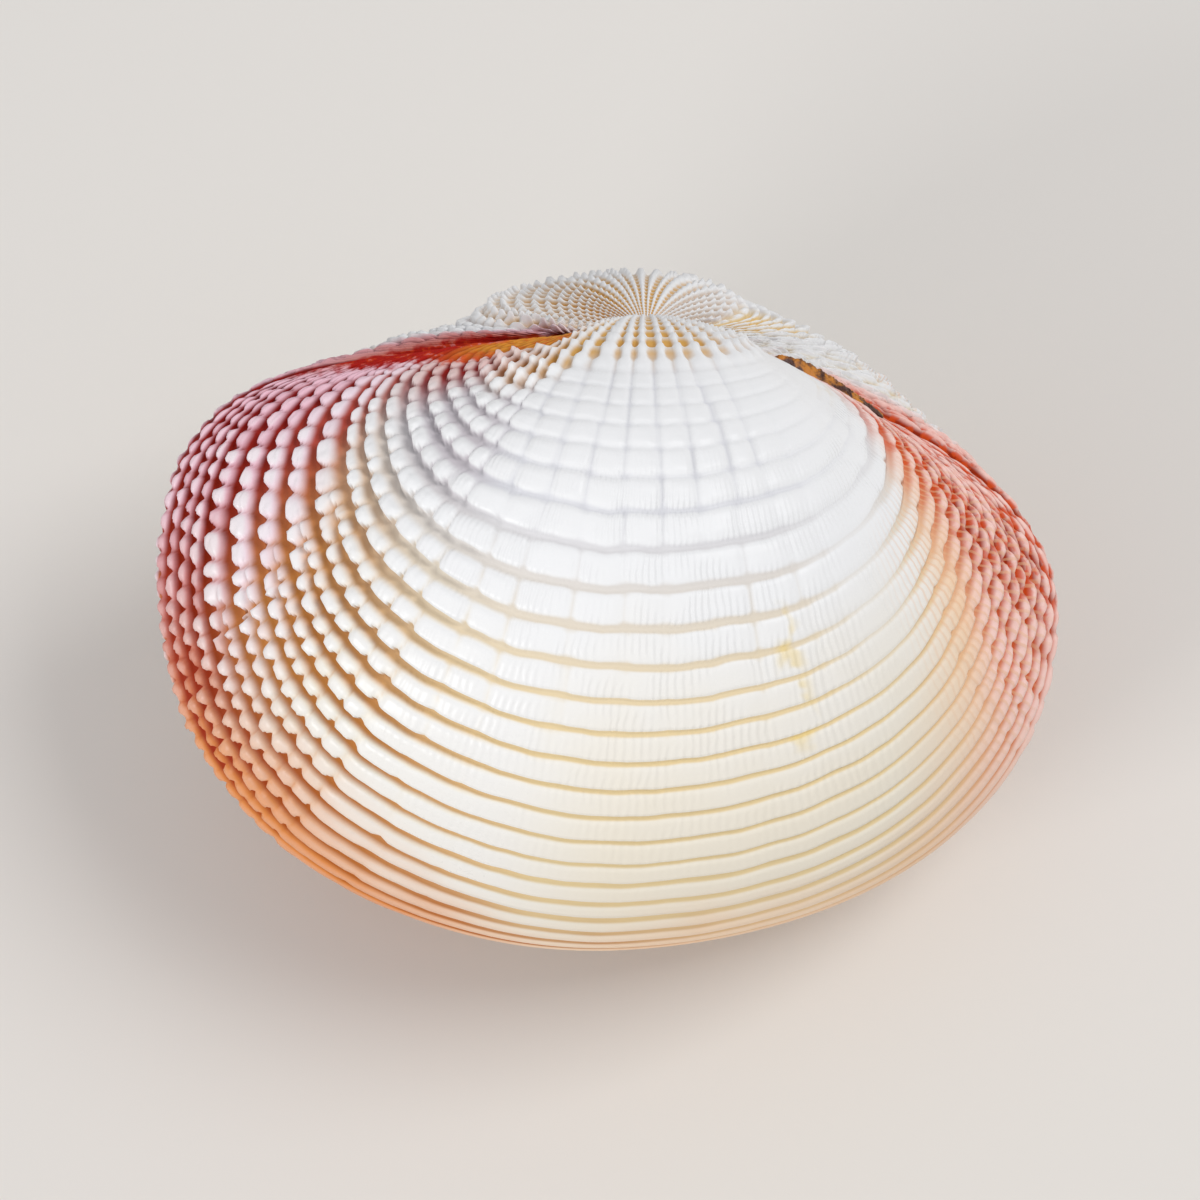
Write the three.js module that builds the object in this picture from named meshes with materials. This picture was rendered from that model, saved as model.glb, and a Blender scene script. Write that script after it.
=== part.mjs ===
// A closed pair of clam valves with latticed sculpture, lying on its right valve.
// Millimetres, +Z up, +X towards the rear end, +Y towards the hinge.
// Origin on the ground, under the middle of the shell.
import * as THREE from 'three';

// Margin of one valve, in its own plane, measured from the beak
const FRONT_REACH = 29.8;
const FRONT_DROP = 15.2;
const REAR_REACH = 26.2;
const REAR_DROP = 18.9;
const VALVE_HEIGHT = 40.4;
const LOWEST_SHIFT = -2.4;
const FRONT_SHOULDER_SLOPE = THREE.MathUtils.degToRad(8.9);
const REAR_SHOULDER_SLOPE = THREE.MathUtils.degToRad(10.3);

// How far each stretch of the margin runs straight before it bends
const FRONT_SHOULDER_RUN = 12.8;
const FRONT_UPPER_RUN = 17.2;
const FRONT_LOWER_RUN = 16.8;
const BASE_FRONT_RUN = 13.2;
const BASE_REAR_RUN = 9.6;
const REAR_LOWER_RUN = 17.5;
const REAR_UPPER_RUN = 11.9;
const REAR_SHOULDER_RUN = 6.5;

// Growth: a younger margin is a smaller copy, turned about the hinge line
const COIL_RATE = 2.923;
const BULGE = [2.471, -1.589, 0.472];
const BEAK_AGE = 0.03;
const HINGE_CLEARANCE = 0.5;

// Growth ridges: step between grooves, as a share of the full size
const LATE_STEP = 0.0265;
const MIDLIFE_EXTRA_STEP = 0.016;
const MIDLIFE_AGE = 0.52;
const MIDLIFE_SPREAD = 0.13;
const FIRST_RIDGE_AGE = 0.28;
const UMBO_AGES = [0.19, 0.12, 0.07];

// Sculpture heights
const MIDDLE_RIDGE_HEIGHT = 0.5;
const FRONT_RIDGE_HEIGHT = 1.0;
const REAR_RIDGE_HEIGHT = 0.8;
const FULL_RIDGE_AGE = 0.5;
const MARGIN_FADE_AGE = 0.94;
const MARGIN_RIDGE_SHARE = 0.55;
const GROWTH_PROBE = 0.01;
const BEAD_GAP_SHARE = 0.45;
const RIB_GAP_SHARE = 0.75;

// Fields around the margin, as shares of its length from the beak, front side first
const LUNULE_END = 0.13;
const FRONT_FIELD_END = 0.37;
const REAR_FIELD_START = 0.62;
const ESCUTCHEON_START = 0.89;
const PLAIN_FIELD = { ribs: 1.5, height: 0, gapShare: 1 };
const FRONT_BEADS = { ribs: 7, height: FRONT_RIDGE_HEIGHT, gapShare: BEAD_GAP_SHARE };
const MIDDLE_RIBS = { ribs: 4, height: MIDDLE_RIDGE_HEIGHT, gapShare: RIB_GAP_SHARE };
const REAR_BEADS = { ribs: 6, height: REAR_RIDGE_HEIGHT, gapShare: BEAD_GAP_SHARE };
const FIELDS = [
  { start: 0, end: LUNULE_END, ...PLAIN_FIELD },
  { start: LUNULE_END, end: FRONT_FIELD_END, ...FRONT_BEADS },
  { start: FRONT_FIELD_END, end: REAR_FIELD_START, ...MIDDLE_RIBS },
  { start: REAR_FIELD_START, end: ESCUTCHEON_START, ...REAR_BEADS },
  { start: ESCUTCHEON_START, end: 1, ...PLAIN_FIELD },
];

// Wall of a valve
const WALL = 1.9;
const HINGE_PLATE = 3.6;
const HINGE_PLATE_SHARE = 0.12;
const HOLLOW_AGES = [1, 0.93, 0.84, 0.73, 0.61, 0.49, 0.38];
const VALVE_GAP = 0.3;

// Ligament in the groove behind the beaks
const LIGAMENT_START = 8;
const LIGAMENT_END = 15;
const LIGAMENT_FRONT_HEIGHT = 2;
const LIGAMENT_REAR_HEIGHT = 0.3;
const LIGAMENT_CLEARANCE = 0.2;
const LIGAMENT_HALF_WIDTH = 0.8;
const LIGAMENT_STATIONS = 9;
const LIGAMENT_SECTION_STEPS = 6;
const LIGAMENT_END_SHARE = 0.4;
const LIGAMENT_EDGE_SHARE = 0.5;
const GROOVE_SAMPLES = 200;

// Resting attitude on the right valve, and the wear of the crests that touch the ground
const REST_ROLL = THREE.MathUtils.degToRad(35.4);
const REST_PITCH = THREE.MathUtils.degToRad(6.5);
const CREST_WEAR = 0.35;

const LEFT = 1;
const RIGHT = -1;

const restAttitude = new THREE.Euler(REST_ROLL, REST_PITCH, 0, 'XYZ');

// Margin of a full-grown valve: beak, front end, lowest point, rear end, beak
function marginPath() {
  const beak = new THREE.Vector2(0, -HINGE_CLEARANCE);
  const front = new THREE.Vector2(-FRONT_REACH, -FRONT_DROP);
  const base = new THREE.Vector2(LOWEST_SHIFT, -VALVE_HEIGHT);
  const rear = new THREE.Vector2(REAR_REACH, -REAR_DROP);
  const from = (point, x, y) => new THREE.Vector2(point.x + x, point.y + y);
  const frontShoulder = from(
    beak,
    -FRONT_SHOULDER_RUN * Math.cos(FRONT_SHOULDER_SLOPE),
    -FRONT_SHOULDER_RUN * Math.sin(FRONT_SHOULDER_SLOPE),
  );
  const rearShoulder = from(
    beak,
    REAR_SHOULDER_RUN * Math.cos(REAR_SHOULDER_SLOPE),
    -REAR_SHOULDER_RUN * Math.sin(REAR_SHOULDER_SLOPE),
  );
  const path = new THREE.CurvePath();
  path.add(new THREE.CubicBezierCurve(beak, frontShoulder, from(front, 0, FRONT_UPPER_RUN), front));
  const baseFront = from(base, -BASE_FRONT_RUN, 0);
  path.add(new THREE.CubicBezierCurve(front, from(front, 0, -FRONT_LOWER_RUN), baseFront, base));
  const baseRear = from(base, BASE_REAR_RUN, 0);
  path.add(new THREE.CubicBezierCurve(base, baseRear, from(rear, 0, -REAR_LOWER_RUN), rear));
  path.add(new THREE.CubicBezierCurve(rear, from(rear, 0, REAR_UPPER_RUN), rearShoulder, beak));
  return path;
}

// Turn of a growth line about the hinge line, away from the margin's plane
function growthTurn(age) {
  const young = 1 - age;
  const bulge = BULGE[0] * young + BULGE[1] * young ** 2 + BULGE[2] * young ** 3;
  return -Math.log(age) / COIL_RATE + bulge;
}

// A point of a growth line's plane, carried to its turn; side is LEFT or RIGHT
function turnedPoint(x, y, age, side) {
  const turn = growthTurn(age);
  const depth = -y * Math.sin(turn) + VALVE_GAP / 2;
  return new THREE.Vector3(x, y * Math.cos(turn), side * depth);
}

// Grooves between ridges, from the margin back towards the beak, with a crest in each step
function ridgeRows() {
  const rows = [{ age: 1, crest: 0 }];
  let age = 1;
  while (age > FIRST_RIDGE_AGE) {
    const midlife = Math.exp(-(((age - MIDLIFE_AGE) / MIDLIFE_SPREAD) ** 2));
    const step = LATE_STEP + MIDLIFE_EXTRA_STEP * midlife;
    rows.push({ age: age - step / 2, crest: 1 });
    rows.push({ age: age - step, crest: 0 });
    age -= step;
  }
  UMBO_AGES.forEach((umboAge) => rows.push({ age: umboAge, crest: 0 }));
  rows.push({ age: BEAK_AGE, crest: 0 });
  return rows;
}

// Columns around the margin: a rib and a gap in turn, with the ridge height that each gives
function ribColumns(path) {
  const columns = [];
  FIELDS.forEach(({ start, end, ribs, height, gapShare }) => {
    const count = ribs * 2;
    for (let index = 0; index < count; index += 1) {
      const around = start + ((end - start) * index) / count;
      const point = path.getPointAt(around);
      const along = path.getTangentAt(around);
      const outward = new THREE.Vector2(along.y, -along.x);
      const share = index % 2 === 0 ? gapShare : 1;
      columns.push({ around, point, outward, height: height * share });
    }
  });
  return columns;
}

// Height of a growth line's crest: low on the umbo and at the fresh margin
function crestShare({ age, crest }) {
  const grown = Math.min(1, age / FULL_RIDGE_AGE);
  const fresh = THREE.MathUtils.smoothstep(age, MARGIN_FADE_AGE, 1);
  return crest * grown * THREE.MathUtils.lerp(1, MARGIN_RIDGE_SHARE, fresh);
}

// Smooth surface of a valve, with the relief of ridges and beads laid along its normal
function outerPoint({ point, outward, height }, row, side) {
  const { age } = row;
  const smooth = turnedPoint(point.x * age, point.y * age, age, side);
  const younger = age - GROWTH_PROBE;
  const growth = turnedPoint(point.x * younger, point.y * younger, younger, side).sub(smooth);
  const beside = turnedPoint(point.x * age - outward.y, point.y * age + outward.x, age, side);
  const normal = new THREE.Vector3().crossVectors(beside.sub(smooth), growth).normalize();
  return smooth.addScaledVector(normal, side * height * crestShare(row));
}

// Hollow of a valve: each margin drawn in by the wall, and by the hinge plate near the beak
function innerPoint(column, age, side) {
  const fromBeak = Math.min(column.around, 1 - column.around);
  const plate = 1 - THREE.MathUtils.smoothstep(fromBeak, 0, HINGE_PLATE_SHARE);
  const inset = WALL + (HINGE_PLATE - WALL) * plate;
  const x = column.point.x * age - column.outward.x * inset;
  const y = column.point.y * age - column.outward.y * inset;
  return turnedPoint(x, y, age, side);
}

// Closed surface from rings of equal count, with a fan of faces over the first and last ring
function ringSolid(rings, inward) {
  const count = rings[0].length;
  const points = rings.flat();
  const faces = [];
  const addFace = (a, b, c) => faces.push(...(inward ? [a, c, b] : [a, b, c]));
  for (let ring = 0; ring < rings.length - 1; ring += 1) {
    for (let index = 0; index < count; index += 1) {
      const next = (index + 1) % count;
      const [a, b] = [ring * count + index, ring * count + next];
      addFace(a, b, b + count);
      addFace(a, b + count, a + count);
    }
  }
  const addFan = (ring, flip) => {
    const middle = new THREE.Vector3();
    rings[ring].forEach((point) => middle.addScaledVector(point, 1 / count));
    const hub = points.push(middle) - 1;
    for (let index = 0; index < count; index += 1) {
      const [a, b] = [ring * count + index, ring * count + ((index + 1) % count)];
      if (flip) addFace(hub, b, a);
      else addFace(hub, a, b);
    }
  };
  addFan(0, true);
  addFan(rings.length - 1, false);
  return { points, faces };
}

// One valve: the outside from beak to margin, then the hollow from margin to its blind end
function valveSurface(path, side) {
  const columns = ribColumns(path);
  const outside = ridgeRows().map((row) => columns.map((column) => outerPoint(column, row, side)));
  const hollow = HOLLOW_AGES.map((age) => columns.map((column) => innerPoint(column, age, side)));
  return ringSolid([...outside.reverse(), ...hollow], side === LEFT);
}

// Ligament: a strip with an arched top along the groove, high in front and low behind
function ligamentSurface(path) {
  const samples = path.curves.at(-1).getSpacedPoints(GROOVE_SAMPLES);
  const nearer = (x) => (best, sample) => (Math.abs(sample.x - x) < Math.abs(best.x - x) ? sample : best);
  const rings = [];
  for (let station = 0; station < LIGAMENT_STATIONS; station += 1) {
    const along = station / (LIGAMENT_STATIONS - 1);
    const x = THREE.MathUtils.lerp(LIGAMENT_START, LIGAMENT_END, along);
    const fullness = LIGAMENT_END_SHARE + (1 - LIGAMENT_END_SHARE) * Math.sqrt(Math.sin(Math.PI * along));
    const halfWidth = LIGAMENT_HALF_WIDTH * fullness;
    const height = fullness * THREE.MathUtils.lerp(LIGAMENT_FRONT_HEIGHT, LIGAMENT_REAR_HEIGHT, along);
    const bottom = samples.reduce(nearer(x)).y + LIGAMENT_CLEARANCE;
    const lower = [];
    const upper = [];
    for (let step = 0; step <= LIGAMENT_SECTION_STEPS; step += 1) {
      const across = (2 * step) / LIGAMENT_SECTION_STEPS - 1;
      const arch = THREE.MathUtils.lerp(LIGAMENT_EDGE_SHARE, 1, Math.cos((across * Math.PI) / 2));
      lower.push(new THREE.Vector3(x, bottom, across * halfWidth));
      upper.push(new THREE.Vector3(x, bottom + height * arch, -across * halfWidth));
    }
    rings.push([...lower, ...upper]);
  }
  return ringSolid(rings, true);
}

function solidGeometry({ points, faces }) {
  const geometry = new THREE.BufferGeometry().setFromPoints(points);
  geometry.setIndex(faces);
  geometry.computeVertexNormals();
  return geometry;
}

// The shell lies where it balances; the lowest crests are worn down to the ground
function layDown(surfaces) {
  const all = surfaces.flatMap(({ points }) => points);
  all.forEach((point) => point.applyEuler(restAttitude));
  const ground = Math.min(...all.map((point) => point.z)) + CREST_WEAR;
  all.forEach((point) => {
    point.z = Math.max(point.z, ground);
  });
  const box = new THREE.Box3().setFromPoints(all);
  const middle = box.getCenter(new THREE.Vector3());
  all.forEach((point) => point.sub(new THREE.Vector3(middle.x, middle.y, ground)));
}

function piece(name, surface, color, roughness) {
  const material = new THREE.MeshStandardMaterial({ color, roughness, metalness: 0 });
  const mesh = new THREE.Mesh(solidGeometry(surface), material);
  mesh.name = name;
  return mesh;
}

const margin = marginPath();
const leftValve = valveSurface(margin, LEFT);
const rightValve = valveSurface(margin, RIGHT);
const ligament = ligamentSurface(margin);
layDown([leftValve, rightValve, ligament]);

const shell = new THREE.Group();
shell.name = 'clam_shell';
shell.add(piece('left_valve', leftValve, 0xf0e6d8, 0.5));
shell.add(piece('right_valve', rightValve, 0xeed9c8, 0.5));
shell.add(piece('ligament', ligament, 0x6a3a16, 0.6));

export default shell;
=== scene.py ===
import math
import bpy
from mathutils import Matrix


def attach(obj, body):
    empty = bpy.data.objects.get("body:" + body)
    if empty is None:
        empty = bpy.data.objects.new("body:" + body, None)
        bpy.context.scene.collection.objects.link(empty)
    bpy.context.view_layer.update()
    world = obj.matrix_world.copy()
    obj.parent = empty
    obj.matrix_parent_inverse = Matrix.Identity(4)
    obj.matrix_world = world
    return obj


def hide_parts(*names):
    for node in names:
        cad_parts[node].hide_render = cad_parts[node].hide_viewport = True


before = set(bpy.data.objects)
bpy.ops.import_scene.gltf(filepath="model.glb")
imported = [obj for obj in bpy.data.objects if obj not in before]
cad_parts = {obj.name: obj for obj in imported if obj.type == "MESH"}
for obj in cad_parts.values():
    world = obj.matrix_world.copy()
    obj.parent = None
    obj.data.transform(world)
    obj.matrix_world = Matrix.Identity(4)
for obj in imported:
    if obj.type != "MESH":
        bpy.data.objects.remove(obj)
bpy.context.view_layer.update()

from types import SimpleNamespace

import bpy
from bpy.props import FloatProperty, FloatVectorProperty, IntProperty, PointerProperty
from mathutils import Matrix, Vector, noise

bl_info = {
    "name": "Latticed clam shell",
    "version": (1, 0, 0),
    "blender": (4, 5, 0),
    "location": "View3D > Sidebar > Shell",
    "description": "Grows a closed pair of latticed clam valves with their ligament",
    "category": "Add Mesh",
}

# Valves: name, side, seed of the random numbers, and how far the lunule widens towards the beak
LEFT = 1.0
RIGHT = -1.0
VALVES = (("left_valve", LEFT, 3.0, 0.0225), ("right_valve", RIGHT, 11.0, -0.004))

# Grid of one valve: columns around the margin, rows from beak to margin and into the hollow
COLUMN_SHARES = ((0.0, 0.0), (0.06, 0.13), (0.47, 0.38), (0.66, 0.70), (0.975, 0.955), (1.0, 1.0))
COLUMNS = 380
UMBO_ROWS = 54
RIDGE_ROWS = 192
HOLLOW_ROWS = 8
OUTER_ROWS = UMBO_ROWS + RIDGE_ROWS
ROWS = 1 + OUTER_ROWS + HOLLOW_ROWS + 1
HOLLOW_GROWTH = 0.62
MARGIN_RESOLUTION = 64
MERGE_DISTANCE = 0.0000002

# Rows of a middle ridge, as shares of its width, crowd together at its grooves
CROWDED_ROWS = ((0.0, 0.0), (0.25, 0.14), (0.625, 0.68), (1.0, 1.0))

# Shares of the margin's length, from the beak and front side first, where the fields meet
LUNULE_END = 0.13
FRONT_FIELD_END = 0.37
REAR_FIELD_START = 0.72
ESCUTCHEON_START = 0.955
WIDEST_LUNULE = 0.23

# Size of the shell at which it blushes, around the margin
BLUSH_ONSET = (
    (0.0, 0.30), (0.10, 0.30), (0.14, 0.34), (0.18, 0.45), (0.22, 0.56), (0.26, 0.63),
    (0.30, 0.65), (0.345, 0.68), (0.395, 0.72), (0.445, 0.75), (0.495, 0.78), (0.57, 0.80),
    (0.645, 0.79), (0.695, 0.76), (0.745, 0.64), (0.80, 0.50), (0.84, 0.47), (1.0, 0.46),
)

# Colours around the margin, for the first and the full blush of lobes and of grooves
FIRST_LOBES = (
    (0.0, "peach"), (0.10, "pink"), (0.18, "blossom"), (0.26, "blossom"), (0.34, "cream"),
    (0.66, "cream"), (0.74, "peach"), (0.80, "salmon"),
)
FULL_LOBES = (
    (0.11, "coral"), (0.15, "pink"), (0.22, "pink"), (0.27, "coral"), (0.32, "orange"),
    (0.43, "orange"), (0.50, "peach"), (0.66, "peach"), (0.74, "salmon"), (0.86, "salmon"),
    (1.0, "coral"),
)
FIRST_GROOVES = (
    (0.0, "flame"), (0.11, "crimson"), (0.17, "brick"), (0.22, "brick"), (0.29, "caramel"),
    (0.38, "caramel"), (0.48, "groove_tan"), (0.66, "groove_tan"), (0.74, "apricot"),
    (0.79, "rust"), (0.85, "ember"), (1.0, "flame"),
)
FULL_GROOVES = (
    (0.0, "flame"), (0.11, "crimson"), (0.18, "crimson"), (0.26, "ember"), (0.33, "ember"),
    (0.39, "ochre"), (0.51, "ochre"), (0.60, "apricot"), (0.68, "apricot"), (0.75, "rust"),
    (0.79, "ember"), (0.85, "ember"), (1.0, "crimson"),
)

# Scales of the noise in the finishes, in waves per metre
DRIFT_SCALE = 130.0
PATCH_SCALE = 420.0
FLAKE_SCALE = 1300.0
GRAIN_SCALE = 2600.0
CRACK_SCALE = 1500.0
FLOOR_SCALE = 6.0

# Fine riblets around the whole margin
RIBLETS = 210

# Mesh of the ligament, and the waves per metre and height of its cracks
LIGAMENT_STATIONS = 120
LIGAMENT_STEPS = 13
GROOVE_SAMPLES = 400
CRACK_WAVES = 2600.0
FINE_CRACK_WAVES = 5600.0
CRACK_HEIGHT = 0.00016

# Stage: half of the floor's side, the point that the lights face, and the camera's own sizes
FLOOR_HALF = 1.5
LIGHT_TARGET = (0.0, 0.0, 0.02)
SENSOR_WIDTH = 36
CLIP_START = 0.01


def linear(display):
    """A colour in linear light, from display values of 0 to 255."""
    levels = [value / 255 for value in display]
    return [v / 12.92 if v <= 0.04045 else ((v + 0.055) / 1.055) ** 2.4 for v in levels]


def kind_of(make, convert=None, **settings):
    """A maker of properties of one kind, which may convert their defaults."""

    def maker(name, description, default):
        value = convert(default) if convert else default
        return make(name=name, description=description, default=value, **settings)

    return maker


# Kinds of properties: metres, degrees, watts, plain numbers, and colours as display values
length = kind_of(FloatProperty, unit="LENGTH", precision=5)
place = kind_of(FloatVectorProperty, subtype="TRANSLATION", unit="LENGTH", precision=5)
angle = kind_of(FloatProperty, math.radians, subtype="ANGLE")
power = kind_of(FloatProperty, unit="POWER")
share = kind_of(FloatProperty, precision=4)
count = kind_of(IntProperty, min=0)
colour = kind_of(FloatVectorProperty, linear, subtype="COLOR", min=0, max=1)


class ShellOutline(bpy.types.PropertyGroup):
    """Margin of a full-grown valve, measured from the beak in the margin's plane"""

    front_reach: length("Front reach", "Beak to the front end, along the hinge line", 0.0298)
    front_drop: length("Front drop", "Beak down to the front end", 0.0152)
    rear_reach: length("Rear reach", "Beak to the rear end, along the hinge line", 0.0262)
    rear_drop: length("Rear drop", "Beak down to the rear end", 0.0189)
    height: length("Height", "Beak down to the lowest point of the margin", 0.0404)
    lowest_shift: length("Lowest shift", "Lowest point behind the beak", -0.0024)
    hinge_clearance: length("Hinge clearance", "Hinge line above the margin at the beak", 0.0005)
    front_slope: angle("Front slope", "Slope of the front shoulder", 8.9)
    rear_slope: angle("Rear slope", "Slope of the rear shoulder", 10.3)
    front_shoulder: length("Front shoulder run", "Straight run of the front shoulder", 0.0128)
    front_upper: length("Front upper run", "Straight run above the front end", 0.0172)
    front_lower: length("Front lower run", "Straight run below the front end", 0.0168)
    base_front: length("Base front run", "Straight run in front of the lowest point", 0.0132)
    base_rear: length("Base rear run", "Straight run behind the lowest point", 0.0096)
    rear_lower: length("Rear lower run", "Straight run below the rear end", 0.0175)
    rear_upper: length("Rear upper run", "Straight run above the rear end", 0.0119)
    rear_shoulder: length("Rear shoulder run", "Straight run of the rear shoulder", 0.0065)


class ShellGrowth(bpy.types.PropertyGroup):
    """How a valve coils as it grows, and how its growth ridges are spaced"""

    coil_rate: share("Coil rate", "Larger is a flatter coil", 2.923)
    bulge_first: share("Bulge", "Turn added in step with youth", 2.471)
    bulge_second: share("Bulge, square", "Turn added with the square of youth", -1.589)
    bulge_third: share("Bulge, cube", "Turn added with the cube of youth", 0.472)
    beak_age: share("Beak age", "Size of the first growth line, as a share", 0.03)
    late_step: share("Late step", "Growth between grooves near the margin", 0.0265)
    midlife_extra_step: share("Midlife extra step", "Growth added at midlife", 0.016)
    midlife_age: share("Midlife age", "Size at which the ridges are widest", 0.52)
    midlife_spread: share("Midlife spread", "Span of sizes with wide ridges", 0.13)
    umbo_age: share("Umbo age", "Size at which the lattice of the umbo ends", 0.28)
    umbo_step: share("Umbo step", "Growth between umbo ridges, as a share of size", 0.12)


class ShellSculpture(bpy.types.PropertyGroup):
    """Heights and counts of the ridges, lobes and ribs"""

    front_height: length("Front ridge height", "Height of the lobed front ridges", 0.0010)
    middle_height: length("Middle ridge height", "Height of the smooth middle bands", 0.00022)
    rib_height: length("Rib height", "Height of the broad ribs below the umbo", 0.0008)
    rear_height: length("Rear ridge height", "Height of the scalloped rear ridges", 0.0004)
    plain_height: length("Plain field height", "Height of scales beside the hinge", 0.00035)
    umbo_height: length("Umbo height", "Height of the lattice on the umbo", 0.0010)
    front_lobes: count("Front lobes", "Lobes along a front ridge", 28)
    middle_ribs: count("Middle ribs", "Broad ribs across the middle", 11)
    rear_lobes: count("Rear lobes", "Lobes along a rear ridge", 18)
    plain_scales: count("Scales", "Scales across each plain field by the hinge", 5)
    young_share: share("Young share", "Share of the lobes that a young ridge has", 0.42)
    wander: share("Wander", "How far the lobes stray from straight rows", 0.9)
    wall_share: share("Wall share", "Wall, as a share of the way to the middle", 0.085)
    valve_gap: length("Valve gap", "Gap between the two margins", 0.0003)


class ShellColours(bpy.types.PropertyGroup):
    """Colours of the valves and the ligament"""

    # White also serves as the painted highlight on the crests of the front lobes
    white: colour("White", "Umbo, upper middle and pearly crests", (240, 240, 240))
    cream: colour("Cream", "Lower middle bands", (240, 232, 215))
    # Pale groove: a pale tint greyed with painted shade, standing in for shade in the grooves
    groove_pale: colour("Pale groove", "Grooves of the white part", (220, 220, 224))
    groove_tan: colour("Tan groove", "Grooves of the cream part", (231, 208, 160))
    straw: colour("Straw", "Grooves beside the ligament", (234, 204, 140))
    # Umber is painted shade in the lines under the lobes' sharp edges; it also darkens the grooves
    # of the lunule
    umber: colour("Umber", "Lines under the lobes and in the lunule", (96, 22, 14))
    # Mauve is painted shade: grey in the pits between the first lobes of the front
    mauve: colour("Mauve", "Pits between the first lobes of the front", (192, 180, 184))
    pit: colour("Pit", "Pits of the umbo lattice", (214, 168, 94))
    bark: colour("Bark", "Pits of the umbo lattice in front", (160, 84, 24))
    stain: colour("Stain", "Small yellow stain", (238, 206, 96))
    amber: colour("Amber", "Lunule near the beak", (222, 146, 48))
    flame: colour("Flame", "Rim of the lunule, and flakes of the rear", (218, 80, 26))
    crimson: colour("Crimson", "Grooves of the upper front", (142, 14, 8))
    scarlet: colour("Scarlet", "Lunule towards the margin", (176, 22, 8))
    brick: colour("Brick", "Grooves beside the lunule", (180, 74, 60))
    ember: colour("Ember", "Grooves of the lower front", (162, 46, 6))
    caramel: colour("Caramel", "Grooves of the inner front", (208, 142, 74))
    ochre: colour("Ochre", "Grooves along the lower margin", (178, 92, 14))
    apricot: colour("Apricot", "Grooves of the inner rear", (234, 186, 146))
    rust: colour("Rust", "Grooves of the rear", (212, 98, 52))
    blossom: colour("Blossom", "First blush of the front", (241, 220, 229))
    pink: colour("Pink", "Lobes of the upper front", (234, 190, 203))
    coral: colour("Coral", "Lobes of the front", (214, 132, 118))
    orange: colour("Orange", "Lobes of the lower front", (226, 140, 66))
    peach: colour("Peach", "Bands along the lower margin", (246, 210, 174))
    salmon: colour("Salmon", "Lobes of the rear", (250, 210, 200))
    ligament_dark: colour("Dark ligament", "Cracks of the ligament", (70, 30, 10))
    ligament_amber: colour("Amber ligament", "Fresh parts of the ligament", (204, 130, 40))


class ShellRest(bpy.types.PropertyGroup):
    """Where the shell lies, and the ligament in its groove"""

    roll: angle("Roll", "Turn about the hinge line", 35.4)
    pitch: angle("Pitch", "Turn about the other level line", 6.5)
    beak_place: place("Beak", "Where the hinge passes the beaks", (0.001795, 0.013961, 0.029327))
    ligament_start: length("Ligament start", "Front end of the ligament behind the beak", 0.008)
    ligament_end: length("Ligament end", "Rear end of the ligament behind the beak", 0.015)
    ligament_front: length("Ligament front height", "Height of its front end", 0.002)
    ligament_rear: length("Ligament rear height", "Height of its rear end", 0.0003)
    ligament_clearance: length("Ligament clearance", "Ligament above the groove", 0.0002)
    ligament_half_width: length("Ligament half width", "Half of its greatest width", 0.0008)


class StageLook(bpy.types.PropertyGroup):
    """Floor, lights and camera"""

    floor: colour("Floor", "Pale floor", (226, 222, 216))
    sky: colour("Sky", "Soft light from all round", (250, 251, 255))
    sky_strength: share("Sky strength", "Strength of the soft light", 0.55)
    key_place: place("Key place", "Where the main light hangs", (0.28, 0.08, 0.50))
    key_size: length("Key size", "Side of the main light", 0.24)
    key_power: power("Key power", "Power of the main light", 1.3)
    fill_place: place("Fill place", "Where the fill light hangs", (-0.42, -0.36, 0.22))
    fill_size: length("Fill size", "Side of the fill light", 0.22)
    fill_power: power("Fill power", "Power of the fill light", 1.5)
    camera_yaw: angle("Camera yaw", "Turn of the camera round the shell", 3.81)
    camera_pitch: angle("Camera pitch", "How far the camera looks down on the hinge", 17.14)
    camera_roll: angle("Camera roll", "Tilt of the camera", -1.03)
    camera_distance: length("Camera distance", "Camera to the beak", 0.336)
    camera_side: length("Camera side", "Beak right of the picture's middle", 0.00274)
    camera_rise: length("Camera rise", "Beak above the picture's middle", 0.01637)
    lens: share("Lens", "Focal length in millimetres", 163.08)


def operators(operation):
    """An operator of values as a Math node, and its reflected form."""

    def plain(self, other):
        return self.math(operation, other)

    def reflected(self, other):
        return self.tree.node("ShaderNodeMath", {0: other, 1: self}, operation=operation)

    return plain, reflected


class Value:
    """A socket's value in a node tree; arithmetic on it adds Math nodes."""

    __add__, __radd__ = operators("ADD")
    __sub__, __rsub__ = operators("SUBTRACT")
    __mul__, __rmul__ = operators("MULTIPLY")
    __truediv__, __rtruediv__ = operators("DIVIDE")
    __pow__, __rpow__ = operators("POWER")
    __gt__, __lt__ = operators("GREATER_THAN")

    def __init__(self, tree, socket):
        self.tree = tree
        self.socket = socket

    def math(self, operation, *others):
        """A Math node that takes this value first."""
        sockets = dict(enumerate((self, *others)))
        return self.tree.node("ShaderNodeMath", sockets, operation=operation)


class Tree:
    """A node tree, and the one way that nodes are added to it."""

    def __init__(self, nodes):
        self.nodes = nodes

    def node(self, kind, sockets=None, out=0, **settings):
        """Adds a node: its settings first, then the values or links of its sockets."""
        made = self.nodes.nodes.new(kind)
        for name, value in settings.items():
            if name == "stops":
                set_stops(made.color_ramp, value)
            elif name == "points":
                set_points(made.mapping, value)
            else:
                setattr(made, name, value)
        for key, value in (sockets or {}).items():
            for single in value if isinstance(value, list) else [value]:
                if isinstance(single, Value):
                    self.nodes.links.new(made.inputs[key], single.socket)
                else:
                    made.inputs[key].default_value = single
        return Value(self, made.outputs[out]) if made.outputs else made


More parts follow.
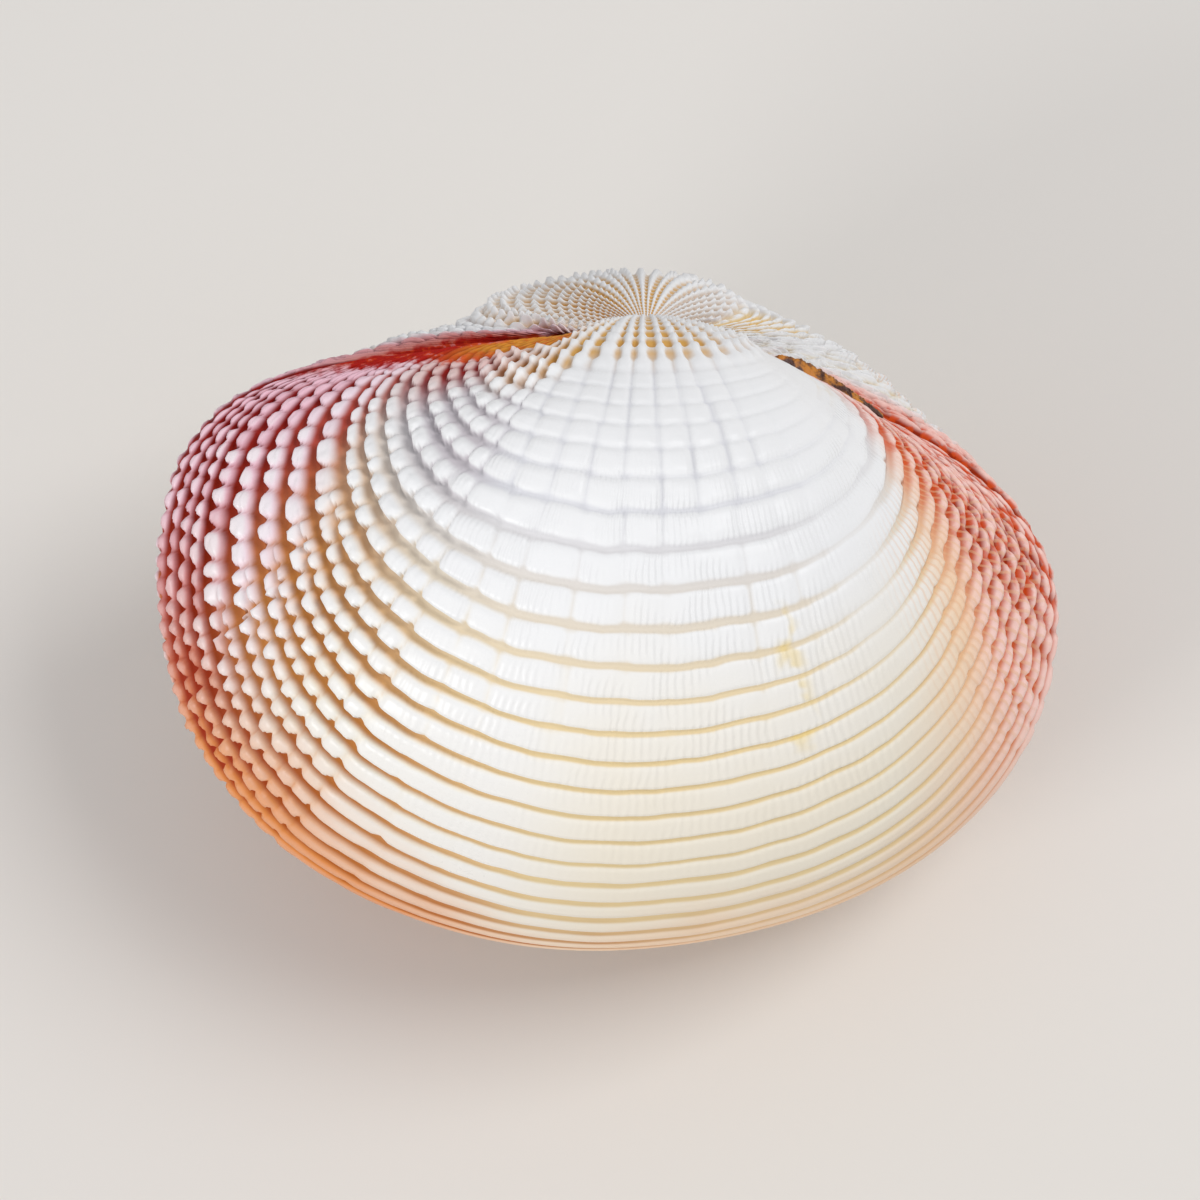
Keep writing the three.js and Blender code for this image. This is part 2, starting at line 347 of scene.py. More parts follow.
def set_stops(ramp, stops):
    """Stops of a colour ramp, as pairs of place and colour."""
    while len(ramp.elements) < len(stops):
        ramp.elements.new(1.0)
    for element, (position, tint) in zip(ramp.elements, stops):
        element.position = position
        element.color = (*tint, 1.0)


def set_points(mapping, points):
    """Points of a float curve."""
    curve = mapping.curves[0]
    while len(curve.points) < len(points):
        curve.points.new(1.0, 1.0)
    for point, location in zip(curve.points, points):
        point.location = location
    mapping.update()


def rise(value, low, high, kind="LINEAR"):
    """Ramp from 0 to 1 between two values, straight unless a kind is given."""
    sockets = {"Value": value, "From Min": low, "From Max": high}
    return value.tree.node("ShaderNodeMapRange", sockets, interpolation_type=kind)


def ease(value, low, high):
    """Smooth step from 0 to 1 between two values."""
    return rise(value, low, high, "SMOOTHSTEP")


def fade(value, low, high):
    """Smooth step from 1 to 0 between two values."""
    return 1 - ease(value, low, high)


def bounded(value, low, rising, high, falling):
    """1 between low and high, with soft edges."""
    return ease(value, low, low + rising) * fade(value, high, high + falling)


def between(amount, first, second):
    """From first to second as amount goes from 0 to 1."""
    return first + (second - first) * amount


def straight_steps(value, knots):
    """A line of straight runs through the knots."""
    total = knots[0][1]
    for (low, start), (high, end) in zip(knots, knots[1:]):
        total = rise(value, low, high) * (end - start) + total
    return total


def combine(tree, x, y, z):
    """A vector from three values."""
    return tree.node("ShaderNodeCombineXYZ", {0: x, 1: y, 2: z})


def separate(vector):
    """The three values of a vector."""
    first = vector.tree.node("ShaderNodeSeparateXYZ", {0: vector})
    return [Value(vector.tree, socket) for socket in first.socket.node.outputs]


def cloud(vector, scale, detail=2.0):
    """Soft noise around one half."""
    sockets = {"Vector": vector, "Scale": scale, "Detail": detail}
    return vector.tree.node("ShaderNodeTexNoise", sockets)


def waver(vector, scale=1.0, detail=2.0):
    """Soft noise around zero."""
    return cloud(vector, scale, detail) - 0.5


def mix(amount, first, second):
    """One colour laid over another."""
    sockets = {0: amount, 6: first, 7: second}
    return amount.tree.node("ShaderNodeMix", sockets, 2, data_type="RGBA")


def groove_ages(growth):
    """Sizes of the shell at its grooves, from beak to margin, and how many are on the umbo."""
    ages = [1.0]
    while ages[-1] > growth.umbo_age:
        gap = (ages[-1] - growth.midlife_age) / growth.midlife_spread
        step = growth.late_step + growth.midlife_extra_step * math.exp(-gap * gap)
        ages.append(ages[-1] - step)
    late = len(ages) - 1
    while ages[-1] * (1 - growth.umbo_step) > growth.beak_age:
        ages.append(ages[-1] * (1 - growth.umbo_step))
    ages.append(growth.beak_age)
    return ages[::-1], len(ages) - 1 - late


def settings_of(group):
    """The properties that a group declares itself."""
    return [group.bl_rna.properties[name] for name in group.__annotations__]


def geometry_tree(name, groups, extras):
    """A geometry tree with an input for each property of the groups."""
    nodes = bpy.data.node_groups.new(name, "GeometryNodeTree")
    nodes.is_modifier = True
    nodes.interface.new_socket("Geometry", in_out="OUTPUT", socket_type="NodeSocketGeometry")
    kinds = {"INT": "NodeSocketInt", "FLOAT": "NodeSocketFloat"}
    settings = [setting for group in groups for setting in settings_of(group)]
    inputs = {setting.identifier: kinds[setting.type] for setting in settings}
    for label, kind in (inputs | extras).items():
        nodes.interface.new_socket(label, in_out="INPUT", socket_type=kind)
    entry = nodes.nodes.new("NodeGroupInput")
    tree = Tree(nodes)
    given = {socket.name: Value(tree, socket) for socket in entry.outputs if socket.name}
    return tree, SimpleNamespace(**given)


def margin_curve(tree, given):
    """Beak, front end, lowest point, rear end, beak, as four curved runs."""

    def at(x, y):
        return combine(tree, x, y, 0.0)

    def along(slope, run, forward):
        x = run * slope.math("COSINE") * forward
        return at(x, run * slope.math("SINE") * -1.0 - given.hinge_clearance)

    front_x = given.front_reach * -1.0
    front_y = given.front_drop * -1.0
    rear_x = given.rear_reach
    rear_y = given.rear_drop * -1.0
    base_x = given.lowest_shift
    base_y = given.height * -1.0
    beak = at(0.0, given.hinge_clearance * -1.0)
    front = at(front_x, front_y)
    base = at(base_x, base_y)
    rear = at(rear_x, rear_y)
    front_handle = along(given.front_slope, given.front_shoulder, -1.0)
    rear_handle = along(given.rear_slope, given.rear_shoulder, 1.0)
    above_front = at(front_x, front_y + given.front_upper)
    below_front = at(front_x, front_y - given.front_lower)
    before_base = at(base_x - given.base_front, base_y)
    behind_base = at(base_x + given.base_rear, base_y)
    below_rear = at(rear_x, rear_y - given.rear_lower)
    above_rear = at(rear_x, rear_y + given.rear_upper)
    runs = (
        (beak, front_handle, above_front, front),
        (front, below_front, before_base, base),
        (base, behind_base, below_rear, rear),
        (rear, above_rear, rear_handle, beak),
    )
    curves = []
    for run in runs:
        sockets = dict(zip(("Start", "Start Handle", "End Handle", "End"), run))
        sockets["Resolution"] = MARGIN_RESOLUTION
        curves.append(tree.node("GeometryNodeCurvePrimitiveBezierSegment", sockets))
    return tree.node("GeometryNodeJoinGeometry", {0: curves[::-1]})


def growth_turn(age, given):
    """Turn of a growth line about the hinge line."""
    young = 1 - age
    bulge = given.bulge_third * young + given.bulge_second
    bulge = (bulge * young + given.bulge_first) * young
    return bulge - age.math("LOGARITHM", math.e) / given.coil_rate


def umbo_share(around, age):
    """1 on the latticed umbo, which reaches further down in front."""
    inner_front = fade(around, FRONT_FIELD_END - 0.06, FRONT_FIELD_END + 0.08)
    return fade(age - inner_front * 0.09, 0.20, 0.28)


class Fields:
    """Masks of a valve: the fields around its margin, and the ages at which they change."""

    def __init__(self, given, around, age):
        self.near = given.side > 0.0
        widened = (given.lunule_reach * age**-1.5).math("MINIMUM", WIDEST_LUNULE)
        self.beside = around - LUNULE_END - widened
        lunule = fade(self.beside, -0.02, 0.0)
        front_end = fade(around, FRONT_FIELD_END - 0.07, FRONT_FIELD_END + 0.09)
        self.front = ease(self.beside, -0.02, 0.01) * front_end
        self.rear = bounded(around, REAR_FIELD_START - 0.04, 0.10, ESCUTCHEON_START - 0.01, 0.03)
        self.plain = lunule + ease(around, ESCUTCHEON_START, ESCUTCHEON_START + 0.03)
        self.middle = (1 - self.front - self.rear - self.plain).math("MAXIMUM", 0.0)
        self.young = umbo_share(around, age)
        self.late = ease(age, 0.58, 0.68)
        self.upper_front = fade(age, 0.34, 0.46)
        self.upper_middle = fade(age, 0.36, 0.56)
        self.ribbed = fade(age, 0.54, 0.76) * fade(around, 0.60, 0.68)
        self.smooth_rear = ease(around, 0.58, 0.68) * fade(age, 0.62, 0.80)
        self.upper_rear = fade(age, 0.42, 0.58) * self.near
        self.outer_rear = fade(around, 0.79, 0.86) * ease(age, 0.58, 0.74) * self.near

    def blend(self, front, middle, rear, plain):
        """A value for each field, blended where the fields meet."""
        return self.front * front + self.middle * middle + self.rear * rear + self.plain * plain


def ridge_pairs(fields, around, phase, age_at):
    """Where two front ridges grow as one, and a number for each ridge."""
    pair = (phase * 0.5).math("FLOOR") * 2
    pair_age = age_at(pair + 1)
    merge = (pair_age > 0.6) * (pair_age < 0.9)
    fork = fade(around, FRONT_FIELD_END - 0.12, FRONT_FIELD_END - 0.05)
    merge = merge * fields.front * fork
    ridge = between(merge > 0.5, phase.math("FLOOR") + 0.5, pair + 1)
    return merge, ridge


def rib_turns(tree, given, fields, around, phase, merge, ridge, ridge_age):
    """Lobes and ribs passed on the way around, straying a little on each ridge."""
    seed = given.seed
    crowd = between(rise(ridge_age, 0.55, 0.95), given.young_share, 1.0)
    stray = waver(combine(tree, around * 45, ridge * 3.7, seed)) * given.wander
    step = between(merge, phase.math("FRACT"), (phase * 0.5).math("FRACT") * 2)
    lean = step * (fields.front - fields.rear) * 0.35
    crowding = waver(combine(tree, around * 16, ridge * 0.05, seed)) * 1.8
    return (
        rise(around, 0.0, LUNULE_END) * given.plain_scales
        + (rise(around, LUNULE_END, FRONT_FIELD_END) - 1) * given.front_lobes * crowd
        + rise(around, FRONT_FIELD_END, REAR_FIELD_START) * given.middle_ribs
        + rise(around, REAR_FIELD_START, ESCUTCHEON_START) * given.rear_lobes * crowd
        + rise(around, ESCUTCHEON_START, 1.0) * given.plain_scales
        + (stray * (fields.front + fields.rear) + lean) * (1 - fields.young)
        + crowding
    )


def ridge_section(fields, age, phase, merge, lobe):
    """Section of a ridge, from groove to sharp edge, and the strip under that edge that carries
    painted shade.
    """
    edge = fields.blend(
        front=lobe * 0.24 + 0.64,
        middle=fields.late * 0.08 - ease(age, 0.80, 0.92) * 0.22 + 0.78,
        rear=lobe * 0.20 + 0.66,
        plain=0.7,
    )
    rising = fields.blend(front=0.55, middle=0.16, rear=0.6, plain=0.4)
    falling = fields.blend(front=0.1, middle=0.14 - fields.late * 0.05, rear=0.12, plain=0.25)

    def strip(turns):
        step = turns.math("FRACT")
        return ease(step, 0.0, rising) * fade(step, edge, edge + falling)

    def under_edge(turns):
        step = turns.math("FRACT")
        return ease(step, edge, edge + falling) * fade(step, edge + falling, 1.0)

    band = between(merge, strip(phase), strip(phase * 0.5))
    lee = between(merge, under_edge(phase), under_edge(phase * 0.5))
    return band, lee


def relief_height(given, fields, around, age):
    """Height of a full crest, low in youth, at the margin and beside the hinge."""
    rim = ease(fields.beside, 0.0, 0.1) * 0.45 + 0.55
    rear_share = (1 - fields.upper_rear * 0.7 + fields.outer_rear) * (2.5 - fields.near * 1.5)
    height = fields.blend(
        front=rim * given.front_height,
        middle=between(fields.upper_middle, given.middle_height, given.rib_height),
        rear=given.rear_height * rear_share,
        plain=given.plain_height,
    )
    grown = rise(age, 0.0, 0.55) ** 1.3
    fresh = 1 - ease(age, 0.94, 1.0) * 0.3
    umbo = rise(age, 0.0, 0.3) * given.umbo_height * (1.3 - fields.near * 0.3)
    seam = bounded(around, 0.0, 0.015, 0.985, 0.015)
    return between(fields.young * (1 - fields.plain), height * grown * fresh, umbo) * seam


def sculpture(tree, given, around, phase, age, age_at):
    """Height of the relief, and the masks that its colours follow."""
    fields = Fields(given, around, age)
    merge, ridge = ridge_pairs(fields, around, phase, age_at)
    ribs = rib_turns(tree, given, fields, around, phase, merge, ridge, age_at(ridge))
    away = (ribs.math("FRACT") * 2 - 1).math("ABSOLUTE")
    lobe = 1 - away ** fields.blend(front=3, middle=8 - fields.upper_middle * 4, rear=2.5, plain=2)
    band, lee = ridge_section(fields, age, phase, merge, lobe)

    calm = fields.middle * (fields.upper_middle * 0.78).math("MAXIMUM", fields.smooth_rear * 0.6)
    calm = calm + fields.rear * fields.upper_rear * 0.85 + fields.front * fields.upper_front * 0.4
    band = 1 - (1 - band) * (1 - calm)
    depth = fields.blend(
        front=0.42,
        middle=fields.ribbed * 0.54 + 0.06,
        rear=0.3 - fields.upper_rear * 0.2 + fields.outer_rear * 0.15,
        plain=0.3,
    )
    cell = combine(tree, ribs.math("FLOOR"), ridge, given.seed)
    uneven = tree.node("ShaderNodeTexWhiteNoise", {"Vector": cell}) * 0.3 + 0.75
    band = band * (1 - (1 - lobe) * depth) * between(fields.middle, uneven, 1.0)

    cord = fade(away, 0.2, 0.75)
    knots = bounded(phase.math("FRACT"), 0.1, 0.22, 0.5, 0.22)
    net = cord * (knots * 0.35 + 0.65) + (1 - cord) * knots * 0.45
    crest = between(fields.young, band, net)
    chips = waver(combine(tree, around * 160, phase * 3, given.seed + 5))
    chipped = chips * (fields.front + fields.rear) * (1 - fields.young) * 0.5 + 1
    relief = relief_height(given, fields, around, age) * crest * chipped
    lee = lee * (1 - fields.young) * (1 - calm)
    return crest, lee, fields.beside, relief


def valve_grid(tree):
    """A flat grid, with the row of each point and its share of the way around."""
    sockets = {"Size X": 1.0, "Size Y": 1.0, "Vertices X": COLUMNS + 1, "Vertices Y": ROWS}
    grid = tree.node("GeometryNodeMeshGrid", sockets)
    index = tree.node("GeometryNodeInputIndex")
    column = ((index + 0.5) / ROWS).math("FLOOR")
    return grid, index - column * ROWS, straight_steps(column / COLUMNS, COLUMN_SHARES)


def ridge_phase(tree, given, row, around, umbo_ridges, ridges):
    """Ridges passed on the way from the beak, and how far the growth lines sway."""
    knots = ((0.0, 0.0), (UMBO_ROWS / OUTER_ROWS, umbo_ridges), (1.0, ridges))
    even = straight_steps(rise(row, 1.0, OUTER_ROWS), knots)
    whole = even.math("FLOOR")
    crowded = whole + straight_steps(even - whole, CROWDED_ROWS)
    smooth_field = bounded(around, FRONT_FIELD_END - 0.03, 0.08, REAR_FIELD_START - 0.06, 0.08)
    phase = between(smooth_field * (even > umbo_ridges), even, crowded)
    sway = waver(combine(tree, around * 30, even * 0.2, given.seed + 7)) * 0.3
    sway = sway * bounded(even, umbo_ridges - 2, 3, ridges - 2.5, 2)
    return phase, sway * bounded(around, 0.0, 0.02, 0.98, 0.02)


def smooth_valve(tree, given, grid, around, age, drawn_in):
    """The grid as a smooth valve: margins scaled by age and turned about the hinge line."""
    sockets = {"Curves": margin_curve(tree, given), "Factor": around}
    margin = tree.node("GeometryNodeSampleCurve", sockets, "Position", use_all_curves=True)
    x, y, _ = separate(margin)
    x = (x - drawn_in * (x - given.lowest_shift)) * age
    y = (y - drawn_in * (y + given.height * 0.5)) * age
    turn = growth_turn(age, given)
    out = (given.valve_gap * 0.5 - y * turn.math("SINE")) * given.side
    smooth = combine(tree, x, y * turn.math("COSINE"), out)
    shaped = tree.node("GeometryNodeSetPosition", {"Geometry": grid, "Position": smooth})
    return tree.node("GeometryNodeFlipFaces", {"Mesh": shaped, "Selection": given.side > 0.0})


def laid_down(tree, given, shaped):
    """A valve turned as it lies, moved to its place and worn level where it rests."""
    for turned in (combine(tree, 0.0, given.pitch, 0.0), combine(tree, given.roll, 0.0, 0.0)):
        shaped = tree.node("GeometryNodeTransform", {"Geometry": shaped, "Rotation": turned})
    sockets = {"Geometry": shaped, "Translation": given.beak_place}
    shaped = tree.node("GeometryNodeTransform", sockets)
    x, y, z = separate(tree.node("GeometryNodeInputPosition"))
    worn = combine(tree, x, y, z.math("MAXIMUM", 0.0))
    return tree.node("GeometryNodeSetPosition", {"Geometry": shaped, "Position": worn})


def valve_tree(growth):
    """Geometry tree that grows one valve, outside first and then its hollow."""
    extras = dict.fromkeys(("side", "seed", "lunule_reach", "roll", "pitch"), "NodeSocketFloat")
    extras["beak_place"] = "NodeSocketVector"
    tree, given = geometry_tree("Valve growth", (ShellOutline, ShellGrowth, ShellSculpture), extras)
    ages, umbo_ridges = groove_ages(growth)
    ridges = len(ages) - 1
    age_points = [(ridge / ridges, reached) for ridge, reached in enumerate(ages)]

    def age_at(turns):
        return tree.node("ShaderNodeFloatCurve", {"Value": turns / ridges}, points=age_points)

    grid, row, around = valve_grid(tree)
    phase, sway = ridge_phase(tree, given, row, around, umbo_ridges, ridges)
    outer_age = age_at(phase - sway)
    hollow = row > OUTER_ROWS + 0.5
    pole = (row < 0.5) + (row > ROWS - 1.5)
    inward = rise(row, OUTER_ROWS + 1, OUTER_ROWS + HOLLOW_ROWS)
    age = between(hollow, outer_age, 1 - inward * HOLLOW_GROWTH)
    drawn_in = pole.math("MAXIMUM", hollow * given.wall_share)
    shaped = smooth_valve(tree, given, grid, around, age, drawn_in)

    # The finish reads these; the hollow takes those of a plain crest in the middle
    crest, lee, beside, relief = sculpture(tree, given, around, phase, outer_age, age_at)
    stored = (
        ("age", between(hollow, outer_age, 0.5)),
        ("around", between(hollow, around, 0.5)),
        ("crest", between(hollow, crest, 1.0)),
        ("lee", between(hollow, lee, 0.0)),
        ("beside", between(hollow, beside, 1.0)),
        ("near", given.side > 0.0),
    )
    for name, value in stored:
        sockets = {"Geometry": shaped, "Name": name, "Value": value}
        shaped = tree.node("GeometryNodeStoreNamedAttribute", sockets)
    outside = (1 - hollow - pole).math("MAXIMUM", 0.0)
    sockets = {0: tree.node("GeometryNodeInputNormal"), "Scale": relief * outside}
    lift = tree.node("ShaderNodeVectorMath", sockets, operation="SCALE")
    shaped = tree.node("GeometryNodeSetPosition", {"Geometry": shaped, "Offset": lift})

    sockets = {"Geometry": laid_down(tree, given, shaped), "Distance": MERGE_DISTANCE}
    shaped = tree.node("GeometryNodeMergeByDistance", sockets)
    shaped = tree.node("GeometryNodeSetShadeSmooth", {0: shaped})
    tree.node("NodeGroupOutput", {0: shaped})
    return tree.nodes


def grown_valve(name, side, seed, lunule_reach, finish):
    """One valve as a plain mesh at its place."""
    scene = bpy.context.scene
    nodes = bpy.data.node_groups.get("Valve growth") or valve_tree(scene.shell_growth)
    valve = bpy.data.objects.new(name, bpy.data.meshes.new(name))
    scene.collection.objects.link(valve)
    modifier = valve.modifiers.new("Growth", "NODES")
    modifier.node_group = nodes
    rest = scene.shell_rest
    values = {"side": side, "seed": seed, "lunule_reach": lunule_reach}
    values |= {"roll": rest.roll, "pitch": rest.pitch, "beak_place": list(rest.beak_place)}
    for group in (scene.shell_outline, scene.shell_growth, scene.shell_sculpture):
        for setting in settings_of(type(group)):
            values[setting.identifier] = getattr(group, setting.identifier)
    for item in nodes.interface.items_tree:
        if item.item_type == "SOCKET" and item.in_out == "INPUT":
            modifier[item.identifier] = values[item.name]
    depsgraph = bpy.context.evaluated_depsgraph_get()
    mesh = bpy.data.meshes.new_from_object(
        valve.evaluated_get(depsgraph), preserve_all_data_layers=True, depsgraph=depsgraph
    )
    valve.modifiers.clear()
    mesh.materials.clear()
    mesh.materials.append(finish)
    valve.data = mesh
    mesh.name = name
    return valve


def new_finish(name):
    """A material with an empty tree."""
    finish = bpy.data.materials.new(name)
    finish.use_nodes = True
    finish.node_tree.nodes.clear()
    return finish, Tree(finish.node_tree)


def close_finish(tree, sockets):
    """The shader of a finish, and the material's output."""
    shader = tree.node("ShaderNodeBsdfPrincipled", sockets)
    tree.node("ShaderNodeOutputMaterial", {"Surface": shader})


def attribute(tree, name):
    """A number stored on the mesh."""
    return tree.node("ShaderNodeAttribute", out="Fac", attribute_name=name)


def bump(height, strength, distance):
    """A normal that follows a height."""
    sockets = {"Strength": strength, "Distance": distance, "Height": height}
    return height.tree.node("ShaderNodeBump", sockets)


def object_place(tree):
    """Where a point is on its piece."""
    return tree.node("ShaderNodeTexCoord", out="Object")


class Skin:
    """What the shell's finish reads from the mesh and from noise, and the masks that follow."""

    def __init__(self, tree, colours):
        self.tree = tree
        self.colours = colours
        where = object_place(tree)
        self.drift = waver(where, DRIFT_SCALE, 3.0)
        self.grain = waver(where, GRAIN_SCALE)
        self.flakes = cloud(where, FLAKE_SCALE, 3.0)
        self.patch = cloud(where, PATCH_SCALE)
        self.crest = attribute(tree, "crest")
        # Strip just under each lobe's sharp edge, where painted shade is laid
        self.lee = attribute(tree, "lee")
        self.far = 1 - attribute(tree, "near")
        self.age = age = attribute(tree, "age")
        self.around = around = attribute(tree, "around")
        self.beside = beside = attribute(tree, "beside")

        onset = tree.node("ShaderNodeFloatCurve", {"Value": around}, points=BLUSH_ONSET)
        delay = ease(around, 0.76, 0.84) * 0.40 + bounded(around, 0.12, 0.05, 0.24, 0.1) * 0.2
        self.ripe = age - onset - self.far * delay + self.drift * 0.10
        self.slow = bounded(around, 0.13, 0.04, 0.30, 0.06) * 0.07
        self.young = umbo_share(around, age)
        self.umbo_front = self.young * bounded(around, 0.14, 0.06, 0.32, 0.08) * (1 - self.far)
        self.ends = 1 - bounded(around, 0.36, 0.06, 0.66, 0.10)
        self.burnt = ease(around, 0.755, 0.80) * ease(self.ripe, -0.08, 0.10)
        self.flaky = self.burnt * fade(around, 0.98, 1.0)
        edge = beside + self.drift * 0.04
        self.lunule = fade(edge + (self.flakes - 0.5) * 0.06, -0.02, 0.0)
        self.lunule_rim = ease(edge, -0.05, -0.01) * ease(age, 0.20, 0.32)
        border = fade(beside + self.drift * 0.03, 0.01, 0.07)
        border = border * ease(age - self.far * 0.2, 0.22, 0.34)
        self.border = border * fade(age - self.far * 0.3, 0.44, 0.60)
        inner_rear = bounded(around, 0.68, 0.06, 0.80, 0.06)
        self.inner_rear = inner_rear * bounded(age, 0.52, 0.10, 0.90, 0.10)
        self.riblets = (around * (2 * math.pi * RIBLETS) + self.patch * 9.0).math("SINE")

    def painted(self, tint):
        """A named colour, or a ramp of them around the margin; a mixed colour stays as it is."""
        if isinstance(tint, str):
            return (*getattr(self.colours, tint), 1.0)
        if isinstance(tint, tuple):
            named = [(position, getattr(self.colours, name)) for position, name in tint]
            return self.tree.node("ShaderNodeValToRGB", {0: self.around}, stops=named)
        return tint

    def coats(self, tint, *layers):
        """Colours laid one over another, each with its amount."""
        for amount, over in layers:
            tint = mix(amount, self.painted(tint), self.painted(over))
        return tint


def groove_share(skin):
    """1 in the grooves and 0 on the crests."""
    lower_front = bounded(skin.around, 0.12, 0.04, 0.30, 0.06) * ease(skin.age, 0.82, 0.92)
    deep = skin.burnt * 0.1 + lower_front * 0.1
    spread = skin.ends.math("MAXIMUM", 1 - skin.young)
    low = 0.15 + spread * 0.10 + deep
    high = 0.62 + spread * 0.20 + deep
    return fade(skin.crest + skin.drift * 0.1, low, high)


def glint_and_gloss_share(skin):
    """1 on the crests of the front lobes, where white is laid as a painted highlight and the
    roughness is lower.
    """
    pearl = ease(skin.crest, 0.66, 0.95) * bounded(skin.around, 0.12, 0.05, 0.44, 0.08)
    pearl = pearl * ease(skin.beside, 0.01, 0.05) * (1 - ease(skin.age, 0.86, 0.96) * 0.6)
    return pearl * (1 - ease(skin.around, 0.27, 0.33) * ease(skin.ripe, 0.06, 0.20) * 0.6)


def lobe_tint(skin):
    """Colour of the crests: white, then cream, then the blush of both ends."""
    mellow = ease(skin.age + skin.drift * 0.15, 0.52, 0.82)
    mellow = mellow * (1 - skin.far * ease(skin.around, 0.74, 0.82))
    ripe = skin.ripe - bounded(skin.around, 0.15, 0.05, 0.48, 0.08) * 0.05
    return skin.coats(
        "white",
        (mellow, "cream"),
        (ease(ripe, -0.10, 0.08), FIRST_LOBES),
        (ease(ripe - skin.slow, 0.04, 0.20), FULL_LOBES),
        (skin.umbo_front * 0.15, "amber"),
        (skin.border * 0.5, "coral"),
    )


def groove_tint(skin):
    """Colour of the grooves: pale, greyed as painted shade, then tan, then the blush of both ends.
    """
    inner_front = bounded(skin.around, 0.22, 0.06, 0.34, 0.06) * fade(skin.age, 0.44, 0.56)
    dorsal = ease(skin.around, 0.74, 0.82) * fade(skin.age, 0.40, 0.50) * (1 - skin.young)
    return skin.coats(
        "groove_pale",
        (ease(skin.age, 0.45, 0.72), "groove_tan"),
        # Painted shade: grey mauve in the pits of the inner front
        (inner_front * 0.6, "mauve"),
        (skin.young * (1 - ease(skin.around, 0.62, 0.72) * 0.6), "pit"),
        (skin.umbo_front * 0.5, "bark"),
        (dorsal, "straw"),
        (ease(skin.ripe, -0.14, 0.08), FIRST_GROOVES),
        (ease(skin.ripe - skin.slow, 0.06, 0.24), FULL_GROOVES),
        (skin.border, "crimson"),
    )


def lunule_tint(skin, groove):
    """Colour of the lunule: amber by the beak, with a flame rim, then scarlet."""
    return skin.coats(
        "amber",
        (skin.lunule_rim, "flame"),
        (ease(skin.age + skin.drift * 0.3, 0.38, 0.56), "scarlet"),
        (ease(skin.flakes, 0.48, 0.60) * 0.5, "flame"),
        (ease(skin.flakes, 0.60, 0.66) * ease(skin.age, 0.3, 0.5) * 0.25, "pink"),
        (groove * 0.35, "umber"),
    )


def shell_tint(skin, groove, pearl):
    """All colours of a valve, from the lobes and grooves to the last stain, with a painted
    highlight on the front crests and painted shade under the lobes' edges.
    """
    # Painted shade: a dark umber line under each lobe's sharp edge
    shadow_line = skin.lee * skin.ends * ease(skin.ripe, -0.14, 0.06) * (0.95 - skin.burnt * 0.45)
    slopes = 1 - ease(skin.crest, 0.6, 0.9) * 0.8
    stained = bounded(skin.around, 0.600, 0.012, 0.616, 0.012)
    stained = stained * bounded(skin.age, 0.56, 0.04, 0.70, 0.04)
    return skin.coats(
        lobe_tint(skin),
        (groove, groove_tint(skin)),
        # Painted highlight: white laid on the crests of the front lobes
        (pearl * 0.7, "white"),
        (shadow_line, "umber"),
        (skin.lunule, lunule_tint(skin, groove)),
        (skin.flaky * slopes * ease(skin.flakes, 0.44, 0.56) * 0.8, "flame"),
        (stained * ease(skin.patch, 0.5, 0.62) * 0.45, "stain"),
        (skin.inner_rear * ease(skin.riblets, 0.2, 0.9) * 0.5, "apricot"),
    )


def shell_bump(skin):
    """Fine riblets across the bands, grain all over and flakes in the lunule."""
    fine = bounded(skin.around, 0.30, 0.10, 0.90, 0.04) * bounded(skin.age, 0.36, 0.10, 0.62, 0.3)
    fine = (fine * ease(skin.patch, 0.35, 0.6)).math("MAXIMUM", skin.inner_rear)
    height = skin.riblets * fine * ease(skin.crest, 0.1, 0.5) * 0.4 + skin.grain * 0.3
    height = height + skin.flakes * fade(skin.beside, -0.02, 0.02) * 2.0
    return bump(height, 0.6, 0.00008)


def shell_finish(colours):
    """Porcelain white and cream, blushing to coral at both ends, with coloured grooves."""
    finish, tree = new_finish("shell")
    skin = Skin(tree, colours)
    groove = groove_share(skin)
    pearl = glint_and_gloss_share(skin)
    dull = skin.lunule.math("MAXIMUM", skin.flaky)
    sockets = {
        "Base Color": shell_tint(skin, groove, pearl),
        "Roughness": groove * 0.3 + 0.42 - pearl * 0.14 + dull * 0.3 + skin.grain * 0.2,
        "Normal": shell_bump(skin),
        "IOR": 1.3,
        "Coat Weight": (1 - groove) * (1 - dull) * 0.1,
        "Coat Roughness": 0.25,
    }
    close_finish(tree, sockets)
    return finish


def ligament_finish(colours):
    """Dry, cracked horn: dark in the cracks and amber on the flakes."""
    finish, tree = new_finish("ligament")
    flakes = cloud(object_place(tree), CRACK_SCALE, 4.0)
    dark = (*colours.ligament_dark, 1.0)
    tint = mix(ease(flakes, 0.42, 0.62), dark, (*colours.ligament_amber, 1.0))
    relief = bump(flakes, 0.8, 0.0002)
    close_finish(tree, {"Base Color": tint, "Roughness": flakes * 0.4 + 0.3, "Normal": relief})
    return finish


def floor_finish(look):
    """Plain pale floor."""
    finish, tree = new_finish("floor")
    shade = cloud(object_place(tree), FLOOR_SCALE)
    darker = [value * 0.96 for value in look.floor]
    tint = mix(shade, (*look.floor, 1.0), (*darker, 1.0))
    close_finish(tree, {"Base Color": tint, "Roughness": 0.8})
    return finish


def rest_matrix(rest):
    """From the shell's own axes to where it lies."""
    turned = Matrix.Rotation(rest.roll, 4, "X") @ Matrix.Rotation(rest.pitch, 4, "Y")
    return Matrix.Translation(rest.beak_place) @ turned


def bezier(start, start_handle, end_handle, end, step):
    """A point of a cubic run."""
    back = 1 - step
    return (
        start * back**3
        + start_handle * (3 * back * back * step)
        + end_handle * (3 * back * step * step)
        + end * step**3
    )


